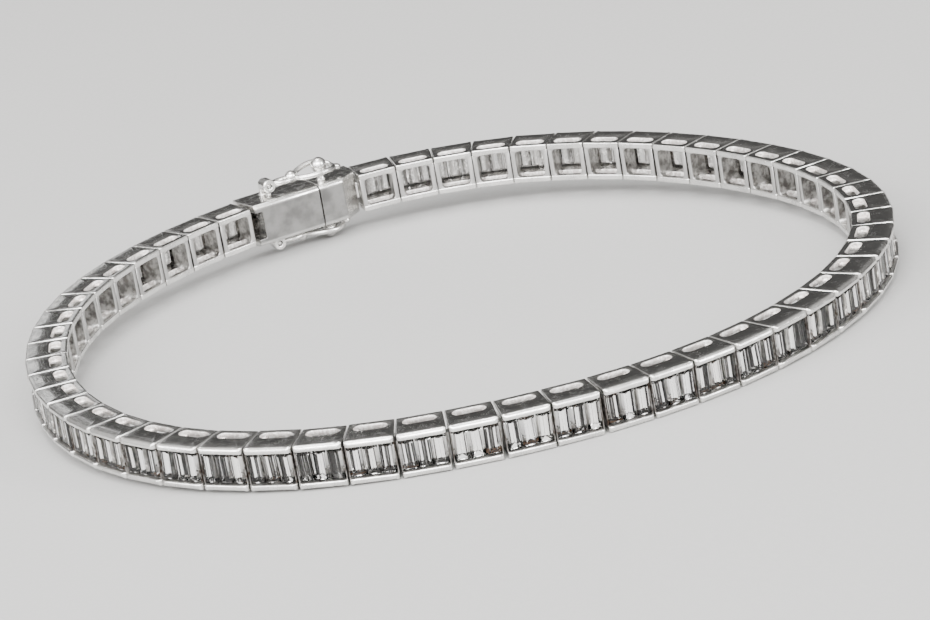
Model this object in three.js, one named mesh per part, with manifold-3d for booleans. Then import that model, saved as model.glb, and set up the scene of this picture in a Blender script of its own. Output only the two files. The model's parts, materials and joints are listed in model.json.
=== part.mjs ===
// A channel-set baguette line bracelet, closed by its box clasp and standing on its edge.
// Millimetres, +Z up. The loop leans a little, because a safety catch stud under the clasp lifts one side.
//
// Every link is a short channel: two side plates with a stadium slot, joined by an end wall at each
// end, and three baguettes held edge to edge between the plates. Links are joined by knuckles.
// A joint frame is used for everything along the chain: x runs along the chain, y points away
// from the wrist with y = 0 on the hinge line, and z runs across the band.

import * as THREE from 'three';
import { mergeVertices } from 'three/addons/utils/BufferGeometryUtils.js';
import Module from 'manifold-3d';

const wasm = await Module();
wasm.setup();

// ---------------------------------------------------------------- driving dimensions

const LINK_COUNT = 54;
const LINKS_PER_RUN = 6;
const PITCH = 3.134;           // hinge to hinge along the chain
const BAND_WIDTH = 2.9;        // across the band, from side plate to side plate
const OUTSIDE = 0.95;          // hinge line to the outer edge of the side plates
const INSIDE = 1.95;           // hinge line to the inner edge, next to the wrist

// The loop seen from above: a circle with a few shallow lobes, each a cosine wave round it.
const LOOP_RADIUS = 28.46;
const LOBES = [
  { waves: 2, rise: 0.58, toward: 26 },
  { waves: 3, rise: 0.51, toward: -16 },
  { waves: 4, rise: 0.21, toward: -20 },
  { waves: 5, rise: 0.18, toward: 11 },
];
const CHAIN_START = 102.4;     // direction of the first hinge from the loop's middle, in degrees

// Joints that stand a little open: the link that follows sits back by this much.
const OPEN_JOINTS = [
  { joint: 28, gap: 0.12 },
  { joint: 30, gap: 0.12 },
  { joint: 31, gap: 0.05 },
  { joint: 32, gap: 0.05 },
];

const link = {
  length: 3.1,                 // at the outer edge
  innerLength: 2.8,            // at the inner edge, so that the loop can close
  plate: 0.42,                 // side plate thickness
  lipChamfer: 0.13,
  endWall: 0.34,
  wallTop: -0.25,              // the end walls stop here, under the stones
};

const slot = {
  length: 2.1,
  width: 0.8,
  middle: -1.1,                // distance of its centre line from the hinge line
};

const stone = {
  perLink: 3,
  width: 0.98,
  table: 0.8,                  // height of the table above the hinge line
  girdle: 0.6,
  keel: -0.13,
  bevel: 0.2,                  // table edge to girdle edge
  clearance: 0.05,
};

const knuckle = {
  radius: 0.38,
  height: 1.1,
  middle: -0.64,
  play: 0.12,
};

const clasp = {
  overhang: 0.15,              // how far the clasp stands proud of the side plates
  inside: 2.1,                 // hinge line to its inner plate
  start: 0.06,
  startTaper: 0.42,            // its start is cut back by this much at the inner plate
  earEnd: 1.05,
  boxEnd: 5.8,
  housingStart: 5.9,
  slantStart: 7.75,
  slantDepth: 1.1,
  endGap: 0.1,                 // housing to the first link
  wall: 0.4,
  chamfer: 0.12,
};

const tongue = {
  tip: 1.9,
  leaf: 0.25,
  spread: 1.1,
  height: 1.7,
};

const safety = {
  pinAt: 2.45,                 // along the clasp
  middle: -0.5,                // centre line, from the hinge line
  pinRadius: 0.15,
  boreRadius: 0.2,
  knuckleRadius: 0.5,
  knuckleLength: 1.0,
  earThickness: 0.28,
  wire: 0.2,                   // wire radius
  smallLoop: { from: 2.75, to: 4.85, width: 1.15 },
  bigLoop: { from: 4.55, to: 8.05, width: 2.35 },
  beadAt: 4.45,
  beadRadius: 0.43,
  tabEnd: 8.6,
  studAt: 6.8,
  studRadius: 0.6,
  neckRadius: 0.28,
};

// How far a catch's parts stand off its side wall. The upper post and stud are soldered on higher.
const upperSide = { pinLift: 0.76, wireLift: 0.7, beadLift: 0.84, studLift: 1.08 };
const lowerSide = { pinLift: 0.54, wireLift: 0.52, beadLift: 0.66, studLift: 0.8 };

// ---------------------------------------------------------------- solids

function toSolid(geometry) {
  const bare = geometry.clone();
  bare.deleteAttribute('normal');
  bare.deleteAttribute('uv');
  const merged = mergeVertices(bare, 1e-5);
  const vertProperties = new Float32Array(merged.attributes.position.array);
  const triVerts = new Uint32Array(merged.index.array);
  return new wasm.Manifold(new wasm.Mesh({ numProp: 3, vertProperties, triVerts }));
}

function toGeometry(solid) {
  const mesh = solid.getMesh();
  const geometry = new THREE.BufferGeometry();
  geometry.setAttribute('position', new THREE.BufferAttribute(mesh.vertProperties, 3));
  geometry.setIndex(new THREE.BufferAttribute(mesh.triVerts, 1));
  geometry.computeVertexNormals();
  return geometry;
}

function join(solids) {
  return solids.reduce((whole, solid) => whole.add(solid));
}

// A box given by its low and high corner.
function block(low, high) {
  const size = high.map((value, axis) => value - low[axis]);
  const geometry = new THREE.BoxGeometry(...size);
  geometry.translate(low[0] + size[0] / 2, low[1] + size[1] / 2, low[2] + size[2] / 2);
  return geometry;
}

// A shape drawn in plan (x, y) and raised from one height to another.
function raise(shape, from, to, curveSegments = 2) {
  const geometry = new THREE.ExtrudeGeometry(shape, {
    depth: to - from,
    bevelEnabled: false,
    curveSegments,
  });
  geometry.translate(0, 0, from);
  return geometry;
}

// A section drawn in (y, z) and drawn out along x from one place to another.
function drawOut(points, from, to) {
  const shape = new THREE.Shape(points.map(([y, z]) => new THREE.Vector2(y, z)));
  const geometry = new THREE.ExtrudeGeometry(shape, { depth: to - from, bevelEnabled: false });
  geometry.applyMatrix4(new THREE.Matrix4().set(
    0, 0, 1, from,
    1, 0, 0, 0,
    0, 1, 0, 0,
    0, 0, 0, 1,
  ));
  return geometry;
}

// ---------------------------------------------------------------- the loop

class LoopLine extends THREE.Curve {
  getPoint(t, target = new THREE.Vector3()) {
    const angle = THREE.MathUtils.degToRad(CHAIN_START) - 2 * Math.PI * t;
    let radius = LOOP_RADIUS;
    for (const { waves, rise, toward } of LOBES) {
      radius += rise * Math.cos(waves * (angle - THREE.MathUtils.degToRad(toward)));
    }
    return target.set(radius * Math.cos(angle), radius * Math.sin(angle), 0);
  }
}

const loopLine = new LoopLine();
loopLine.arcLengthDivisions = 4000;
const loopLength = loopLine.getLength();

function slackBefore(joint) {
  return OPEN_JOINTS.filter((open) => open.joint <= joint)
    .reduce((sum, open) => sum + open.gap, 0);
}

function alongLoop(distance) {
  return loopLine.getPointAt(distance / loopLength);
}

// The matrix that carries a joint frame to the chain between two points of the loop.
function frameBetween(start, end) {
  const along = end.clone().sub(start).normalize();
  const up = new THREE.Vector3(0, 0, 1);
  const out = up.clone().cross(along);
  return new THREE.Matrix4().makeBasis(along, out, up).setPosition(start);
}

function linkFrame(index) {
  const start = index * PITCH + slackBefore(index);
  return frameBetween(alongLoop(start), alongLoop(start + PITCH));
}

const chainEnd = alongLoop(LINK_COUNT * PITCH + slackBefore(LINK_COUNT));
const chainStart = alongLoop(0);
const claspFrame = frameBetween(chainEnd, chainStart);
const claspLength = chainStart.distanceTo(chainEnd);

// ---------------------------------------------------------------- links

const middleX = PITCH / 2;

// The plate narrows towards the wrist from the hinge line on.
function platePlan() {
  const outer = link.length / 2;
  const inner = link.innerLength / 2;
  const shape = new THREE.Shape();
  shape.moveTo(middleX - outer, OUTSIDE);
  shape.lineTo(middleX - outer, 0);
  shape.lineTo(middleX - inner, -INSIDE);
  shape.lineTo(middleX + inner, -INSIDE);
  shape.lineTo(middleX + outer, 0);
  shape.lineTo(middleX + outer, OUTSIDE);
  shape.holes.push(slotPlan());
  return shape;
}

function slotPlan() {
  const radius = slot.width / 2;
  const reach = slot.length / 2 - radius;
  const hole = new THREE.Path();
  hole.absarc(middleX + reach, slot.middle, radius, -Math.PI / 2, Math.PI / 2, false);
  hole.absarc(middleX - reach, slot.middle, radius, Math.PI / 2, 1.5 * Math.PI, false);
  return hole;
}

// The lip section: the outer edge of a plate with both of its corners taken off.
function plateSection(low) {
  const high = low + link.plate;
  const shoulder = OUTSIDE - link.lipChamfer;
  return [
    [-INSIDE - 1, low],
    [shoulder, low],
    [OUTSIDE, low + link.lipChamfer],
    [OUTSIDE, high - link.lipChamfer],
    [shoulder, high],
    [-INSIDE - 1, high],
  ];
}

function sidePlate(low) {
  const plan = toSolid(raise(platePlan(), low - 1, low + link.plate + 1));
  const section = toSolid(drawOut(plateSection(low), -1, PITCH + 1));
  return plan.intersect(section);
}

// An end wall follows the slanted end of the plates, from the inner edge to just under the stones.
function endWall(side) {
  const outerX = middleX + side * link.length / 2;
  const innerX = middleX + side * link.innerLength / 2;
  const shape = new THREE.Shape();
  const topX = outerX + (innerX - outerX) * link.wallTop / -INSIDE;
  const points = [
    [innerX, -INSIDE],
    [topX, link.wallTop],
    [topX - side * link.endWall, link.wallTop],
    [innerX - side * link.endWall, -INSIDE],
  ];
  if (side < 0) {
    points.reverse();
  }
  shape.setFromPoints(points.map(([x, y]) => new THREE.Vector2(x, y)));
  const inset = link.plate / 2;
  return toSolid(raise(shape, inset, BAND_WIDTH - inset));
}

function knuckleAt(x, extra = 0) {
  const height = knuckle.height + 2 * extra;
  const geometry = new THREE.CylinderGeometry(knuckle.radius + extra, knuckle.radius + extra, height, 6);
  geometry.rotateX(Math.PI / 2);
  geometry.translate(x, knuckle.middle, BAND_WIDTH / 2);
  return toSolid(geometry);
}

function linkSolid() {
  const topPlate = sidePlate(BAND_WIDTH - link.plate);
  const bottomPlate = sidePlate(0);
  return join([topPlate, bottomPlate, endWall(-1), endWall(1)]);
}

// The stones of one link, side by side: a row of long tables with bevelled sides.
function stoneSolid() {
  const shape = new THREE.Shape();
  const row = stone.perLink * stone.width;
  const left = middleX - row / 2;
  shape.moveTo(left, stone.keel);
  shape.lineTo(left + row, stone.keel);
  for (let index = stone.perLink - 1; index >= 0; index -= 1) {
    const low = left + index * stone.width;
    const high = low + stone.width;
    shape.lineTo(high, stone.girdle);
    shape.lineTo(high - stone.bevel, stone.table);
    shape.lineTo(low + stone.bevel, stone.table);
  }
  shape.lineTo(left, stone.girdle);
  const from = link.plate + stone.clearance;
  return toSolid(raise(shape, from, BAND_WIDTH - from));
}

// Hidden between the links, this strip lets the stones of one run be a single piece.
function stoneStrip() {
  const half = 0.25;
  const middle = BAND_WIDTH / 2;
  return toSolid(block([-half, 0.1, middle - half], [half, 0.4, middle + half]));
}

function placed(solid, matrix) {
  return toSolid(toGeometry(solid).applyMatrix4(matrix));
}

function linkRun(first) {
  const pieces = [];
  for (let step = 0; step < LINKS_PER_RUN; step += 1) {
    const frame = linkFrame(first + step);
    let solid = linkSolid();
    if (step === 0) {
      solid = solid.subtract(knuckleAt(0, knuckle.play));
    } else {
      solid = solid.add(knuckleAt(0));
    }
    pieces.push(placed(solid, frame));
  }
  const lastFrame = linkFrame(first + LINKS_PER_RUN - 1);
  pieces.push(placed(knuckleAt(PITCH), lastFrame));
  return join(pieces);
}

function stoneRun(first) {
  const pieces = [];
  for (let step = 0; step < LINKS_PER_RUN; step += 1) {
    const frame = linkFrame(first + step);
    const solid = step === 0 ? stoneSolid() : stoneSolid().add(stoneStrip());
    pieces.push(placed(solid, frame));
  }
  return join(pieces);
}

// ---------------------------------------------------------------- clasp

const claspLow = -clasp.overhang;
const claspHigh = BAND_WIDTH + clasp.overhang;

function claspSection() {
  const corner = clasp.chamfer;
  return [
    [-clasp.inside + corner, claspLow],
    [OUTSIDE - corner, claspLow],
    [OUTSIDE, claspLow + corner],
    [OUTSIDE, claspHigh - corner],
    [OUTSIDE - corner, claspHigh],
    [-clasp.inside + corner, claspHigh],
    [-clasp.inside, claspHigh - corner],
    [-clasp.inside, claspLow + corner],
  ];
}

// Carries a piece made above the upper side wall to the lower one.
function mirrored(solid) {
  const geometry = toGeometry(solid);
  geometry.applyMatrix4(new THREE.Matrix4().makeScale(1, 1, -1));
  geometry.translate(0, 0, BAND_WIDTH);
  const index = geometry.index.array;
  for (let corner = 0; corner < index.length; corner += 3) {
    [index[corner], index[corner + 1]] = [index[corner + 1], index[corner]];
  }
  return toSolid(geometry);
}

// A round bar across the clasp, along y.
function crossBar(radius, x, z, from, to, sides) {
  const geometry = new THREE.CylinderGeometry(radius, radius, to - from, sides);
  geometry.translate(x, (from + to) / 2, z);
  return toSolid(geometry);
}

// The ear that holds one end of the catch's pin, and the pin.
function hingePost({ pinLift }) {
  const pinHeight = claspHigh + pinLift;
  const backOfKnuckle = safety.middle + safety.knuckleLength / 2;
  const earFrom = backOfKnuckle + 0.06;
  const earTo = earFrom + safety.earThickness;
  const half = safety.knuckleRadius * 0.8;
  const ear = crossBar(half, safety.pinAt, pinHeight, earFrom, earTo, 10);
  const foot = toSolid(block(
    [safety.pinAt - half, earFrom, claspHigh - 0.2],
    [safety.pinAt + half, earTo, pinHeight],
  ));
  const pinFrom = safety.middle - safety.knuckleLength / 2 + 0.12;
  const pin = crossBar(safety.pinRadius, safety.pinAt, pinHeight, pinFrom, earTo, 8);
  return join([ear, foot, pin]);
}

// Seen in plan, the box's ears are cut back towards the wrist, as the links' ends are.
function boxPlan() {
  const shape = new THREE.Shape();
  shape.moveTo(clasp.start, OUTSIDE + 1);
  shape.lineTo(clasp.start, 0);
  shape.lineTo(clasp.start + clasp.startTaper, -clasp.inside);
  shape.lineTo(clasp.start + clasp.startTaper, -clasp.inside - 1);
  shape.lineTo(clasp.boxEnd, -clasp.inside - 1);
  shape.lineTo(clasp.boxEnd, OUTSIDE + 1);
  return shape;
}

function claspBox() {
  const plan = toSolid(raise(boxPlan(), claspLow - 1, claspHigh + 1));
  const outer = plan.intersect(toSolid(drawOut(claspSection(), 0, clasp.boxEnd)));
  const window = toSolid(block(
    [-1, -clasp.inside - 1, link.plate],
    [clasp.earEnd, OUTSIDE - clasp.wall, BAND_WIDTH - link.plate],
  ));
  const pocket = toSolid(block(
    [clasp.earEnd + clasp.wall, -clasp.inside + clasp.wall, claspLow + clasp.wall],
    [clasp.boxEnd + 1, OUTSIDE - clasp.wall, claspHigh - clasp.wall],
  ));
  const box = outer.subtract(window).subtract(pocket);
  return join([box, hingePost(upperSide), mirrored(hingePost(lowerSide))]);
}

// Seen in plan, the housing falls back at its far end to let the first link swing.
function housingPlan() {
  const end = claspLength - clasp.endGap;
  const shape = new THREE.Shape();
  shape.moveTo(clasp.housingStart, -clasp.inside - 1);
  shape.lineTo(clasp.slantStart, -clasp.inside - 1);
  shape.lineTo(clasp.slantStart, -clasp.inside);
  shape.lineTo(end - 0.15, -clasp.inside + clasp.slantDepth);
  shape.lineTo(end, -0.3);
  shape.lineTo(end, OUTSIDE + 1);
  shape.lineTo(clasp.housingStart, OUTSIDE + 1);
  return shape;
}

// The spring tongue: one leaf going in and a second folded back over it.
function tonguePlan() {
  const root = clasp.housingStart + 0.3;
  const inner = safety.middle - tongue.spread / 2;
  const outer = inner + tongue.spread;
  const back = root - 0.9;
  const shape = new THREE.Shape();
  shape.moveTo(root, inner);
  shape.lineTo(root, inner + tongue.leaf);
  shape.lineTo(tongue.tip + 0.5, inner + tongue.leaf + 0.05);
  shape.lineTo(back, outer - tongue.leaf);
  shape.lineTo(back, outer);
  shape.lineTo(tongue.tip, inner + tongue.leaf + 0.1);
  shape.lineTo(tongue.tip, inner);
  return shape;
}

function stud({ studLift }) {
  const neckTop = claspHigh + studLift;
  const neckHeight = studLift + 0.3;
  const neck = new THREE.CylinderGeometry(safety.neckRadius, safety.neckRadius, neckHeight, 10);
  neck.rotateX(Math.PI / 2);
  neck.translate(safety.studAt, safety.middle, neckTop - neckHeight / 2);
  const ball = new THREE.SphereGeometry(safety.studRadius, 12, 8);
  ball.rotateX(Math.PI / 2);
  ball.translate(safety.studAt, safety.middle, neckTop);
  return toSolid(neck).add(toSolid(ball));
}

function claspTongue() {
  const plan = toSolid(raise(housingPlan(), claspLow - 1, claspHigh + 1));
  const section = toSolid(drawOut(claspSection(), clasp.housingStart, claspLength));
  const middle = BAND_WIDTH / 2;
  const half = tongue.height / 2;
  const leaves = toSolid(raise(tonguePlan(), middle - half, middle + half));
  const housing = plan.intersect(section).add(leaves).add(knuckleAt(claspLength));
  return join([housing, stud(upperSide), mirrored(stud(lowerSide))]);
}

// ---------------------------------------------------------------- figure-eight safety catches

function wireLoop({ from, to, width }, height) {
  const halfLength = (to - from) / 2 - safety.wire;
  const halfWidth = width / 2 - safety.wire;
  const geometry = new THREE.TorusGeometry(halfWidth, safety.wire, 6, 18);
  geometry.scale(halfLength / halfWidth, 1, 1);
  geometry.translate((from + to) / 2, safety.middle, height);
  return toSolid(geometry);
}

function catchSolid({ pinLift, wireLift, beadLift }) {
  const height = claspHigh + wireLift;
  const pinHeight = claspHigh + pinLift;
  const from = safety.middle - safety.knuckleLength / 2;
  const to = safety.middle + safety.knuckleLength / 2;
  const tube = crossBar(safety.knuckleRadius, safety.pinAt, pinHeight, from, to, 12);
  const bore = crossBar(safety.boreRadius, safety.pinAt, pinHeight, from - 1, to + 1, 8);
  const bead = new THREE.SphereGeometry(safety.beadRadius, 10, 6);
  bead.translate(safety.beadAt, safety.middle, claspHigh + beadLift);
  const tabFrom = safety.bigLoop.to - safety.wire;
  const tab = new THREE.CapsuleGeometry(safety.wire, safety.tabEnd - tabFrom - safety.wire, 2, 6);
  tab.rotateZ(Math.PI / 2);
  tab.translate((tabFrom + safety.tabEnd - safety.wire) / 2, safety.middle, height);
  const wires = [wireLoop(safety.smallLoop, height), wireLoop(safety.bigLoop, height)];
  const body = join([...wires, toSolid(bead), toSolid(tab), tube]);
  return body.subtract(bore);
}

// ---------------------------------------------------------------- materials

function metal() {
  return new THREE.MeshStandardMaterial({ color: 0xd9dadd, roughness: 0.16, metalness: 1 });
}

function diamond() {
  return new THREE.MeshStandardMaterial({ color: 0xf4f6f8, roughness: 0.03, metalness: 0 });
}

// ---------------------------------------------------------------- assembly

const bracelet = new THREE.Group();

function addPart(name, solid, material) {
  const mesh = new THREE.Mesh(toGeometry(solid), material);
  mesh.name = name;
  bracelet.add(mesh);
}

for (let run = 0; run < LINK_COUNT / LINKS_PER_RUN; run += 1) {
  const first = run * LINKS_PER_RUN;
  addPart(`link_run_${run + 1}`, linkRun(first), metal());
  addPart(`stone_run_${run + 1}`, stoneRun(first), diamond());
}

addPart('clasp_box', placed(claspBox(), claspFrame), metal());
addPart('clasp_tongue', placed(claspTongue(), claspFrame), metal());
addPart('safety_catch_top', placed(catchSolid(upperSide), claspFrame), metal());
addPart('safety_catch_bottom', placed(mirrored(catchSolid(lowerSide)), claspFrame), metal());

// The lower stud and the rim of the loop across from it carry the bracelet, so it leans a little.
const studFoot = new THREE.Vector3(
  safety.studAt,
  safety.middle,
  claspLow - lowerSide.studLift - safety.studRadius,
).applyMatrix4(claspFrame);
const uphill = new THREE.Vector3(studFoot.x, studFoot.y, 0).normalize();
const rimPoints = loopLine.getSpacedPoints(LINK_COUNT * 8);
const farRim = OUTSIDE + Math.max(...rimPoints.map((point) => -point.dot(uphill)));
const leanAngle = Math.atan(-studFoot.z / (studFoot.dot(uphill) + farRim));
const leanAxis = uphill.clone().cross(new THREE.Vector3(0, 0, 1));
const lean = new THREE.Group();
lean.quaternion.setFromAxisAngle(leanAxis, leanAngle);
lean.add(bracelet);

// The origin is under the middle of the whole bracelet, on the surface it stands on.
const whole = new THREE.Group();
whole.add(lean);
whole.updateMatrixWorld(true);
const bounds = new THREE.Box3().setFromObject(whole, true);
const centre = bounds.getCenter(new THREE.Vector3());
lean.position.set(-centre.x, -centre.y, -bounds.min.z);

export default whole;
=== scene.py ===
# %% [markdown]
# A line bracelet is a chain of short channels. Each channel holds three long, step-cut stones edge
# to edge, and a box clasp with two wire safety catches closes the loop. The loop lies on its edge.
# The metal works of the bracelet arrive as a fixed frame, and this lesson gives them their looks.

# %% Load the frame
import json
import math

import bmesh
import bpy
import numpy as np
from mathutils import Matrix, Vector


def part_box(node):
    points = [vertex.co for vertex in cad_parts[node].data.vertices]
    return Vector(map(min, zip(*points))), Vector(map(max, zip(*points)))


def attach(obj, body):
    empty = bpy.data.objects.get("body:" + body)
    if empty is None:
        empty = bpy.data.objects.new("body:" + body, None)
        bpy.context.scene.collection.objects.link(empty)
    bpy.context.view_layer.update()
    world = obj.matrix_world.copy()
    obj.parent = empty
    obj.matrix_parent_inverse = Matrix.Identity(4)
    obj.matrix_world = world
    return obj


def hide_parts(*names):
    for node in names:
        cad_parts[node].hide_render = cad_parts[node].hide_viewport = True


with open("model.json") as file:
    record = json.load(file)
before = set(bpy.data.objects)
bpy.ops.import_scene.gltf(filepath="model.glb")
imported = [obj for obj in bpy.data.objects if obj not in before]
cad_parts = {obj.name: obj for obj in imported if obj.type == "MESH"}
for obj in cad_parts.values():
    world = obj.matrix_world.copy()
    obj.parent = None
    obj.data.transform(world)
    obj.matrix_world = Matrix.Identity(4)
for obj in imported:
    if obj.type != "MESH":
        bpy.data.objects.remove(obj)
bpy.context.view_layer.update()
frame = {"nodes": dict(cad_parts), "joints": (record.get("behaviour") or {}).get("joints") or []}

MM = 0.001
print("frame nodes:", len(frame["nodes"]))

# %% [markdown]
# The links are one shape repeated 54 times, so the script needs to know where each hinge is. The
# loop is a circle with four shallow lobes, and the hinges are stepped along it at one pitch, with
# a little slack at the joints that stand open. These are the same few sizes that the links were
# made to. Everything is worked out in millimetres and scaled to metres when a mesh is made.

# %% Sizes of the chain
LINKS = 54
LINKS_PER_RUN = 6
PITCH = 3.134
BAND = 2.9
OUTER_EDGE = 0.95
INNER_EDGE = -1.95
LOOP_RADIUS = 28.46
LOBES = (
    {"waves": 2, "rise": 0.58, "toward": 26},
    {"waves": 3, "rise": 0.51, "toward": -16},
    {"waves": 4, "rise": 0.21, "toward": -20},
    {"waves": 5, "rise": 0.18, "toward": 11},
)
CHAIN_START = 102.4
OPEN_JOINTS = {28: 0.12, 30: 0.12, 31: 0.05, 32: 0.05}


def loop_outline(samples=4001):
    """Points of the hinge line, clockwise seen from above, and the distance walked to each."""
    angle = np.radians(CHAIN_START) - np.linspace(0, 2 * np.pi, samples)
    radius = np.full(samples, LOOP_RADIUS)
    for lobe in LOBES:
        radius += lobe["rise"] * np.cos(lobe["waves"] * (angle - math.radians(lobe["toward"])))
    points = np.stack([radius * np.cos(angle), radius * np.sin(angle)], axis=1)
    steps = np.linalg.norm(np.diff(points, axis=0), axis=1)
    return points, np.concatenate([[0], np.cumsum(steps)])


outline, walked = loop_outline()


def on_loop(distance):
    """The point of the hinge line at a distance from the first hinge."""
    return np.array([np.interp(distance, walked, outline[:, axis]) for axis in (0, 1)])


def slack_before(joint):
    """How far the open joints up to this one have pushed the chain along."""
    return sum(gap for number, gap in OPEN_JOINTS.items() if number <= joint)


def joint_frame(start, end):
    """x runs along the chain from start to end, y points away from the wrist, z across the band."""
    along = (end - start) / np.linalg.norm(end - start)
    place = np.eye(4)
    place[:2, 0] = along
    place[:2, 1] = (-along[1], along[0])
    place[:2, 3] = start
    return place


def link_frame(number):
    begin = number * PITCH + slack_before(number)
    return joint_frame(on_loop(begin), on_loop(begin + PITCH))


clasp_on_loop = joint_frame(on_loop(LINKS * PITCH + slack_before(LINKS)), on_loop(0))
print(f"loop {walked[-1]:.1f} mm round")

# %% [markdown]
# The loop leans, because a stud of the lower safety catch props up the clasp. The frame's record
# holds the hinge pins of the two catches, which say where the clasp is in space. Matching the clasp
# of the flat loop to them carries every link along.
#
# A worn chain never lies quite true. Each link gets a hair of twist and tip from seeded random
# numbers. Mirror-bright plates then catch the light one by one, where a perfect chain would flash
# in one long, dead band.

# %% Carry the flat loop onto the frame
PIN_ALONG = 2.45
PIN_MIDDLE = -0.5
CLASP_LOW, CLASP_HIGH = -0.15, BAND + 0.15
LOWER_PIN, UPPER_PIN = 0.54, 0.76


def clasp_in_space():
    joints = {joint["name"]: joint for joint in frame["joints"]}
    top = np.array(joints["top_catch_hinge"]["pos_m"]) / MM
    bottom = np.array(joints["bottom_catch_hinge"]["pos_m"]) / MM
    out = np.array(joints["bottom_catch_hinge"]["axis"])
    up = (top - bottom) / np.linalg.norm(top - bottom)
    along = np.cross(out, up)
    place = np.eye(4)
    place[:3, 0], place[:3, 1], place[:3, 2] = along, out, up
    place[:3, 3] = bottom - PIN_ALONG * along - PIN_MIDDLE * out - (CLASP_LOW - LOWER_PIN) * up
    print("the pins are", round(np.linalg.norm(top - bottom), 2), "mm apart")
    return place


CLASP_PLACE = clasp_in_space()
LEAN = CLASP_PLACE @ np.linalg.inv(clasp_on_loop)
TWIST, TIP = 0.45, 0.3
chance = np.random.default_rng(3)


def unevenness():
    """A turn about the link's own middle, by about half a degree."""
    twist, tip = np.radians(chance.normal(0, (TWIST, TIP)))
    turn = Matrix.Rotation(twist, 4, "X") @ Matrix.Rotation(tip, 4, "Y")
    centre = Matrix.Translation((PITCH / 2, 0, BAND / 2))
    return np.array(centre @ turn @ centre.inverted())


LINK_PLACES = [LEAN @ link_frame(number) @ unevenness() for number in range(LINKS)]
CLASP_LENGTH = np.linalg.norm(on_loop(0) - clasp_on_loop[:2, 3])
run_low, run_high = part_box("link_run_1")
first_outer = (LINK_PLACES[0] @ np.array([0, OUTER_EDGE, BAND, 1]))[:3] * MM
fits = all(run_low[a] - 0.1 * MM <= first_outer[a] <= run_high[a] + 0.1 * MM for a in range(3))
print("first link's corner is inside its node:", fits)

# %% [markdown]
# Every metal part here is a stack of rings: closed rows of points, joined row to row with quads.
# A plate's edge is rounded by making each row a little smaller towards the faces. That gives the
# clean highlights which polished metal needs more than anything else.

# %% Helpers: rings, outlines and pieces
rng = np.random.default_rng(7)


def stack(rings, ends="cap"):
    """Joins rows of points. ends is cap for closed ends, or cycle to join the last row to the first."""
    rings = [np.asarray(ring, float) for ring in rings]
    count = len(rings[0])
    faces = []
    last = len(rings) if ends == "cycle" else len(rings) - 1
    for row in range(last):
        a, b = row * count, (row + 1) % len(rings) * count
        for i in range(count):
            j = (i + 1) % count
            faces.append((a + i, a + j, b + j, b + i))
    if ends == "cap":
        faces.append(tuple(reversed(range(count))))
        faces.append(tuple(range((len(rings) - 1) * count, len(rings) * count)))
    return {"points": np.concatenate(rings), "faces": faces}


def merge(parts):
    """One part out of several, keeping each one's own points."""
    points, faces, offset = [], [], 0
    for part in parts:
        points.append(part["points"])
        faces += [tuple(i + offset for i in face) for face in part["faces"]]
        offset += len(part["points"])
    return {"points": np.concatenate(points), "faces": faces}


def moved(part, matrix):
    """The part carried by a matrix."""
    points = part["points"] @ matrix[:3, :3].T + matrix[:3, 3]
    faces = part["faces"]
    if np.linalg.det(matrix[:3, :3]) < 0:
        faces = [tuple(reversed(face)) for face in faces]
    return {**part, "points": points, "faces": faces}


def rounded_outline(corners, radii, arc_steps=4, edge_length=0.25):
    """A polygon walked counterclockwise with its corners rounded. Gives points and outward normals."""
    corners = np.asarray(corners, float)
    count = len(corners)
    points, normals = [], []
    for i in range(count):
        here, before, after = corners[i], corners[i - 1], corners[(i + 1) % count]
        to_before = (before - here) / np.linalg.norm(before - here)
        to_after = (after - here) / np.linalg.norm(after - here)
        half = math.acos(np.clip(to_before @ to_after, -1, 1)) / 2
        halfway = (to_before + to_after) / np.linalg.norm(to_before + to_after)
        centre = here + halfway * radii[i] / math.sin(half)
        start_normal, end_normal = (np.array([-way[1], way[0]]) for way in (to_before, to_after))
        start_normal *= np.sign(start_normal @ (here - centre))
        end_normal *= np.sign(end_normal @ (here - centre))
        start_angle = math.atan2(start_normal[1], start_normal[0])
        turn = (math.atan2(end_normal[1], end_normal[0]) - start_angle + math.pi) % (2 * math.pi) - math.pi
        for step in range(arc_steps + 1):
            angle = start_angle + turn * step / arc_steps
            normal = np.array([math.cos(angle), math.sin(angle)])
            points.append(centre + normal * radii[i])
            normals.append(normal)
        beyond = corners[(i + 2) % count] - after
        cosine = -to_after @ beyond / np.linalg.norm(beyond)
        next_half = math.acos(np.clip(cosine, -1, 1)) / 2
        begin = points[-1]
        finish = after - to_after * radii[(i + 1) % count] / math.tan(next_half)
        pieces = max(1, round(np.linalg.norm(finish - begin) / edge_length))
        for step in range(1, pieces):
            points.append(begin + (finish - begin) * step / pieces)
            normals.append(end_normal)
    return np.array(points), np.array(normals)


def edge_rows(points, normals, low, high, radius_low, radius_high, steps=5):
    """Rows that climb a slab's edge from its lower face to its upper one, rounded at both."""
    rows = []
    for edge, radius, way in ((low, radius_low, 1), (high, radius_high, -1)):
        for step in range(steps + 1):
            angle = math.pi / 2 * (1 - step / steps if way > 0 else step / steps)
            inset = radius * (1 - math.cos(angle))
            height = edge + way * radius * (1 - math.sin(angle))
            rows.append(np.column_stack([points - normals * inset[:, None], height]))
    return rows


print("helpers ready")

# %% [markdown]
# On the bench a side plate is cut from sheet, pierced with a long slot to save weight and let
# light in, and its outer edge is rolled into a bright lip over the stones. Here the plate's outline
# and the slot get the same number of points, matched by direction from the slot's middle, so one
# closed stack of rings makes the plate with its hole and needs no boolean cut.

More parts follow.
